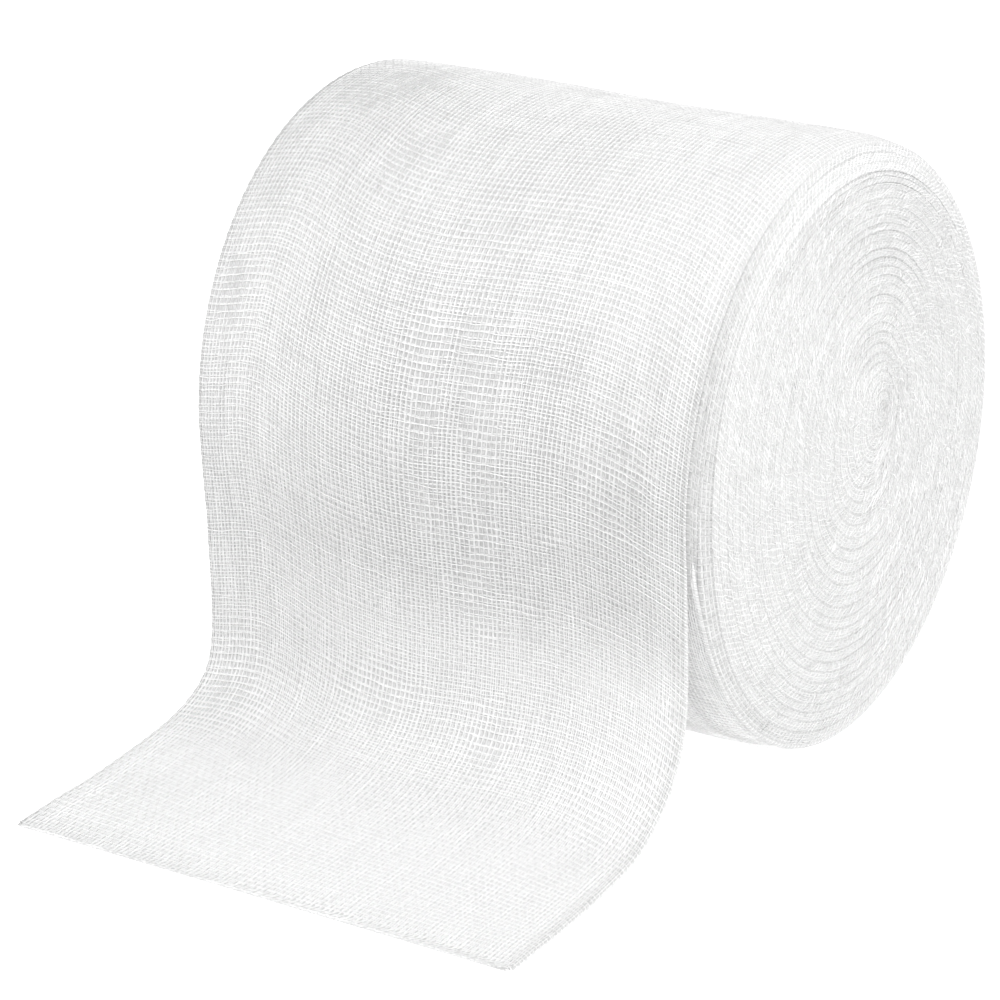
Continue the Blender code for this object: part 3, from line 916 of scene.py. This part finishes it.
class EndFace:
    """The folded edges on one end: lengths and depths read by turns from the roll's outside."""

    def __init__(self, side, seed):
        self.side = side
        self.turns = np.linspace(0, LAST_TURN + 2, SPIRAL_STEPS)
        degrees = math.degrees(LEAVING_ANGLE) - 360 * self.turns
        steps_a_turn = SPIRAL_STEPS / (LAST_TURN + 2)
        uneven = wander((SPIRAL_STEPS,), (steps_a_turn * 0.06,), GROOVE_UNEVEN, seed)
        groove = np.maximum(GROOVE + uneven, LEAST_GROOVE)
        for shallow in SHALLOW_GROOVES:
            near = bump(angle_apart(degrees, shallow.angle), 0, SHALLOW_WIDE)
            groove *= 1 - shallow.share * near * (self.turns < shallow.before_turn)
        groove *= mix(0.4, 1.0, ease((self.turns - 1.3) / 3))
        groove *= mix(0.05, 1.0, ease((LAST_TURN - self.turns) / 10))
        self.groove = groove
        shift = wander((SPIRAL_STEPS,), (steps_a_turn * 0.09,), 0.10 * MM, seed + 1)
        shift = shift + wander((SPIRAL_STEPS,), (steps_a_turn * 0.02,), 0.05 * MM, seed + 12)
        self.crease = 0 * groove
        for crease in CREASES[side]:
            middle, half = (crease.start + crease.end) / 2, abs(crease.start - crease.end) / 2
            nominal = crease.turn + ((math.degrees(LEAVING_ANGLE) - middle) % 360) / 360
            self.crease += crease.depth * MM * bump((self.turns - nominal) * 360, 0, half, 4)
        for move in SHIFTS[side]:
            around = angle_apart(degrees, move.angle) / move.angle_wide
            inward = (self.turns - move.turn - 0.3) / move.turns_wide
            shift += move.move * MM * np.exp(-(around**2) - inward**2)
        shift *= ease((self.turns - 1.2) / 1.2) * ease((LAST_TURN - self.turns) / 5)
        hidden = np.interp(self.turns, *np.array(UNDER_BAND).T)
        self.shift = shift - hidden * MM
        bulge = wander((SPIRAL_STEPS,), (steps_a_turn * 0.05,), 0.06 * MM, seed + 2)
        table = np.array(SET_BACKS).T
        self.set_back = np.interp(self.turns, table[0], table[1] * MM) * RIM_SLACK[side] + bulge

    def read(self, values, turn):
        return np.interp(turn, self.turns, values)

    def place(self, turn, over):
        """A point on the folded edge at this turn, over from -1, its outer groove, to 1."""
        share = (over + 1) / 2
        outer = TURN_PITCH * turn + self.read(self.shift, turn)
        inner = TURN_PITCH * (turn + 1) + self.read(self.shift, turn + 1)
        depth = np.minimum(mix(outer, inner, share), MEAN_RADIUS)
        angle = LEAVING_ANGLE - math.tau * turn
        y, z = section_point(angle, depth, RIM_SLACK[self.side])
        near_edge = turn + (over > 0)
        trough = np.sin(np.clip(np.abs(over), 0, 1) * math.pi / 2) ** 2
        deep = self.read(self.groove + CREASE_SHARE * self.crease, near_edge)
        set_back = self.read(self.set_back, turn + share) + deep * trough
        set_back = set_back + START_BACK * (1 - ease((turn - FIRST_TURN) / START_TURNS))
        at_front = bump(angle_apart(np.degrees(angle), FRONT_ANGLE), 0, FRONT_WIDE)
        outermost = 1 - ease((turn + share - 1) / ROUND_TURNS)
        set_back = set_back + FRONT_ROUND * at_front * outermost
        return np.stack([self.side * (BAND_WIDTH / 2 - set_back), y, z + 0 * set_back], axis=-1)

    def facing(self, turn, over):
        """The direction straight out of the folded edge."""
        ahead = self.place(turn + 0.002, over) - self.place(turn - 0.002, over)
        inward = self.place(turn, over + 0.04) - self.place(turn, over - 0.04)
        out = np.cross(ahead, inward)
        out *= np.sign(out[..., :1]) * self.side
        out[..., 0] += self.side * 1e-13
        return out / np.linalg.norm(out, axis=-1, keepdims=True)

    def painted_fold_shading(self, turn):
        """Painted shading on the folds: 1 on the outer folds at the front, with painted shade as
        dark as on the cloth there, 0 on most, and below 0 on the outer ones at the top, which get
        painted light."""
        degrees = math.degrees(LEAVING_ANGLE) - 360 * turn
        painted_shade = bump(angle_apart(degrees, 182), 0, 66) * (1 - ease((turn - 1.3) / 2.2))
        painted_top_light = bump(angle_apart(degrees, 80), 0, 50) * (1 - ease((turn - 3.2) / 1.8))
        return painted_shade - TOP_PAINTED_LIGHT * painted_top_light

    def stations(self, step, steps_a_turn=0):
        """Turns at which the folded edge has gone on by this length, or by this part of a turn."""
        turn = np.linspace(FIRST_TURN, LAST_TURN, SPIRAL_STEPS)
        length = np.linalg.norm(np.diff(self.place(turn, 0 * turn), axis=0), axis=-1)
        length = np.maximum(length, np.diff(turn) * step * steps_a_turn)
        length = np.concatenate([[0], np.cumsum(length)])
        count = int(length[-1] / step)
        return np.interp(np.linspace(0, length[-1], count), length, turn)


# The yarns on the folds: wefts go over each fold in short slanting lengths, unruly from the third
# turn inward, and two warps run along it. They stop half a turn before the eye.
WEFT_SLANT = -0.8 * MM
FOLD_WEFT_PLACES = np.array([-1.0, -0.55, 0.0, 0.55, 1.0])
FOLD_WARPS = (-0.45, 0.45)
FOLD_WARP_PLUMP = 0.75
FOLD_WARP_TONE = 0.59
FOLD_YARN_LIFT = 0.02 * MM
EYE_TURNS = 0.5
LEAST_OPEN = 0.35
# The folded edges' second ply is painted greyer than the band's, as painted shade on the end faces,
# and their holes' greys are painted shade of the plies beneath
FOLD_HOLE_SHADES = ("#e6e6e6", "#bababa")
FOLD_PLIES = ("#f4f4f4", "#dedede")
fold_gauze = gauze_under_gauze("bleached_gauze_folded_edge", FOLD_HOLE_SHADES, FOLD_PLIES)
for side, name, seed in ((RIGHT, "right", 31), (LEFT, "left", 41)):
    end = EndFace(side, seed)
    turn = end.stations(FOLD_STEP, FEWEST_STEPS_A_TURN)[:, None]
    profile = FOLD_PROFILE[None, :] + 0 * turn
    front = end.place(turn + 0 * profile, profile)
    back = front[:, BACK_POINTS].copy()
    back[:, :, 0] -= side * FOLD_BACK
    fold_rings = np.concatenate([front, back], axis=1)
    folds = add_piece(f"{name}_turn_folds", fold_rings, loft(fold_rings), fold_gauze)
    number_along = np.arange(len(turn))[:, None] * FOLD_STEP / WEFT_PITCH
    number_across = np.concatenate([FOLD_PROFILE, FOLD_PROFILE[BACK_POINTS]])[None, :]
    numbers = [number_across * 1.6, number_along + number_across * 0.6, 0 * number_along]
    numbers = np.stack(np.broadcast_arrays(*numbers), axis=-1)
    set_values(folds.data, "thread_numbers", "FLOAT_VECTOR", numbers)
    # Painted shade on the outer folds at the front and painted light on those at the top, in the
    # holes' grey
    fold_openness = mix(LEAST_OPEN, 1.0, end.painted_fold_shading(turn)) + np.zeros(fold_rings.shape[:2])
    set_values(folds.data, "openness", "FLOAT", fold_openness)
    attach(folds, "root")
    turn = end.stations(WEFT_PITCH)
    turn = turn[turn < LAST_TURN - EYE_TURNS]
    turn_rate = np.gradient(turn) / WEFT_PITCH
    one_each = (len(turn), 1)
    unruly = mix(0.25, 1.0, ease((turn[:, None] - 2) / 5))
    reach = np.clip(0.9 + unruly * wander(one_each, (0.4, 0), 0.2, seed + 6), 0.45, 1.0)
    over = FOLD_WEFT_PLACES[None, :] * reach + unruly * wander(one_each, (0.4, 0), 0.10, seed + 7)
    slant = WEFT_SLANT * (1 + unruly * wander(one_each, (0.7, 0), 0.7, seed + 8))
    curl = unruly * wander(one_each, (0.4, 0), 0.35 * WEFT_SLANT, seed + 9)
    slid = unruly * wander(one_each, (0.4, 0), 0.35 * WEFT_PITCH, seed + 3)
    slid = turn[:, None] + (slid + over * slant + over**2 * curl) * turn_rate[:, None]
    plump = 1 + wander(one_each, (0.5, 0), 0.15, seed + 4)
    tone = mix(0.82, 0.70, unruly) + unruly * wander(one_each, (0.5, 0), 0.13, seed + 10)
    # Painted shade at the front and painted light at the top, in the wefts' tone
    tone = tone - 0.7 * end.painted_fold_shading(turn[:, None])
    lift = FOLD_YARN_LIFT + wander(one_each, (0.4, 0), 0.04 * MM, seed + 11)
    out = end.facing(slid, over)
    there = end.place(slid, over) + out * lift[:, :, None]
    lay_yarns(f"{name}_fold_wefts", "wound_cotton", there, out, 0.0, plump, tone)
    rows_over = np.array(FOLD_WARPS)[:, None] + 0 * turn[None, :]
    rows_over = rows_over + wander(rows_over.shape, (0, 1.6), 0.2, seed + 5)
    rows_turn = turn[None, :] + 0 * rows_over
    crossing = np.where(np.arange(len(turn))[None, :] % 2 == 0, 1.0, -1.0) + 0 * rows_over
    there, out = end.place(rows_turn, rows_over), end.facing(rows_turn, rows_over)
    # Painted shade at the front and painted light at the top, in the warps' tone
    tone = FOLD_WARP_TONE - 0.6 * end.painted_fold_shading(turn[None, :])
    lay_yarns(f"{name}_fold_warps", "wound_cotton", there, out, crossing, FOLD_WARP_PLUMP, tone)

# The winding inside
# The turns between the outermost one and the folded edges, pressed into one firm body of cotton.
# None of it shows: it closes the roll behind the grooves and keeps light from coming through.
CORE_DEPTH = 3.4 * MM
CORE_END = 2.7 * MM
CORE_POINTS = 96
CORE_TONE = 0.6
CORE_RINGS = ((-1, 0.96), (-0.985, 1.0), (0, 1.0), (0.985, 1.0), (1, 0.96))
core_angle = np.linspace(0, math.tau, CORE_POINTS, endpoint=False)
core_y, core_z = section_point(core_angle, CORE_DEPTH + 0 * core_angle, 0.0)
core_rings = []
for x, shrink in CORE_RINGS:
    ring_x = np.full(CORE_POINTS, x * (BAND_WIDTH / 2 - CORE_END))
    ring_y, ring_z = mix(AXIS_Y, core_y, shrink), mix(AXIS_Z, core_z, shrink)
    core_rings.append(np.stack([ring_x, ring_y, ring_z], axis=-1))
core_rings = np.array(core_rings)
core = add_piece("wound_core", core_rings, loft(core_rings), cotton)
set_values(core.data, "tone", "FLOAT", np.full(core_rings.shape[:2], CORE_TONE))
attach(core, "root")
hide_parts("wound_roll")

# The floor, the light and the camera
# A plain pale floor that fades into a white studio, one large soft light from the upper right,
# and the camera where the photograph was taken from.
FLOOR_DROP = 0.1 * MM
FLOOR_HALF = 6.0
SQUARE = ((-1, -1), (1, -1), (1, 1), (-1, 1))
corners = [(x * FLOOR_HALF, y * FLOOR_HALF, -FLOOR_DROP) for x, y in SQUARE]

# Matt studio paper with a faint tooth, finer than it is drawn, and a glow that lifts it to white
PAPER_TOOTH = 2.5 * MM
PAPER_TONES = ("#f8f8f8", "#fafafa")
PAPER_GLOW = 0.55
WHITE = (1.0, 1.0, 1.0, 1.0)
paper = bpy.data.materials.new("matt_white_studio_paper")
paper.use_nodes = True
paper_shader = paper.node_tree.nodes["Principled BSDF"]
place = add(paper.node_tree, "ShaderNodeTexCoord").outputs["Object"]
tooth = {"Vector": place, "Scale": 1 / PAPER_TOOTH}
tooth = add(paper.node_tree, "ShaderNodeTexNoise", tooth)
tooth = {0: tooth, 6: linear(PAPER_TONES[0]), 7: linear(PAPER_TONES[1])}
tooth = add(paper.node_tree, "ShaderNodeMix", tooth, data_type="RGBA")
paper.node_tree.links.new(tooth.outputs[2], paper_shader.inputs["Base Color"])
paper_shader.inputs["Roughness"].default_value = 0.9
paper_shader.inputs["Specular IOR Level"].default_value = 0.1
paper_shader.inputs["Emission Color"].default_value = WHITE
paper_shader.inputs["Emission Strength"].default_value = PAPER_GLOW
floor = add_piece("studio_floor", corners, [(0, 1, 2, 3)], paper)

STUDIO_STRENGTH = 0.79
world = bpy.data.worlds.new("white_studio")
world.use_nodes = True
background = world.node_tree.nodes["Background"]
background.inputs["Color"].default_value = WHITE
background.inputs["Strength"].default_value = STUDIO_STRENGTH
bpy.context.scene.world = world

LAMP_PLACE = Vector((0.45, -0.55, 1.25))
LAMP_AIM = Vector((0.0, 0.0, 0.04))
LAMP_SIZE = 1.0
LAMP_POWER = 11.3
lamp_data = bpy.data.lights.new("soft_light", "AREA")
lamp_data.shape = "DISK"
lamp_data.size = LAMP_SIZE
lamp_data.energy = LAMP_POWER
lamp = bpy.data.objects.new("soft_light", lamp_data)
lamp_turn = (LAMP_AIM - LAMP_PLACE).to_track_quat("-Z", "Y").to_matrix().to_4x4()
lamp.matrix_world = Matrix.Translation(LAMP_PLACE) @ lamp_turn
bpy.context.scene.collection.objects.link(lamp)

CAMERA_AZIMUTH = math.radians(33.137)
CAMERA_ELEVATION = math.radians(20.554)
CAMERA_AIM = Vector((-11.995, 10.73, 37.94)) * MM
CAMERA_DISTANCE = 748.86 * MM
CAMERA_LENS = 150.79
CAMERA_SENSOR = 36.0
camera_data = bpy.data.cameras.new("camera")
camera_data.lens = CAMERA_LENS
camera_data.sensor_width = CAMERA_SENSOR
camera = bpy.data.objects.new("camera", camera_data)
level = math.cos(CAMERA_ELEVATION)
away = Vector((
    math.sin(CAMERA_AZIMUTH) * level,
    -math.cos(CAMERA_AZIMUTH) * level,
    math.sin(CAMERA_ELEVATION),
))
camera_turn = away.to_track_quat("Z", "Y").to_matrix().to_4x4()
camera_place = CAMERA_AIM + away * CAMERA_DISTANCE
camera.matrix_world = Matrix.Translation(camera_place) @ camera_turn
bpy.context.scene.collection.objects.link(camera)
bpy.context.scene.camera = camera
bpy.context.scene.view_settings.view_transform = "Standard"
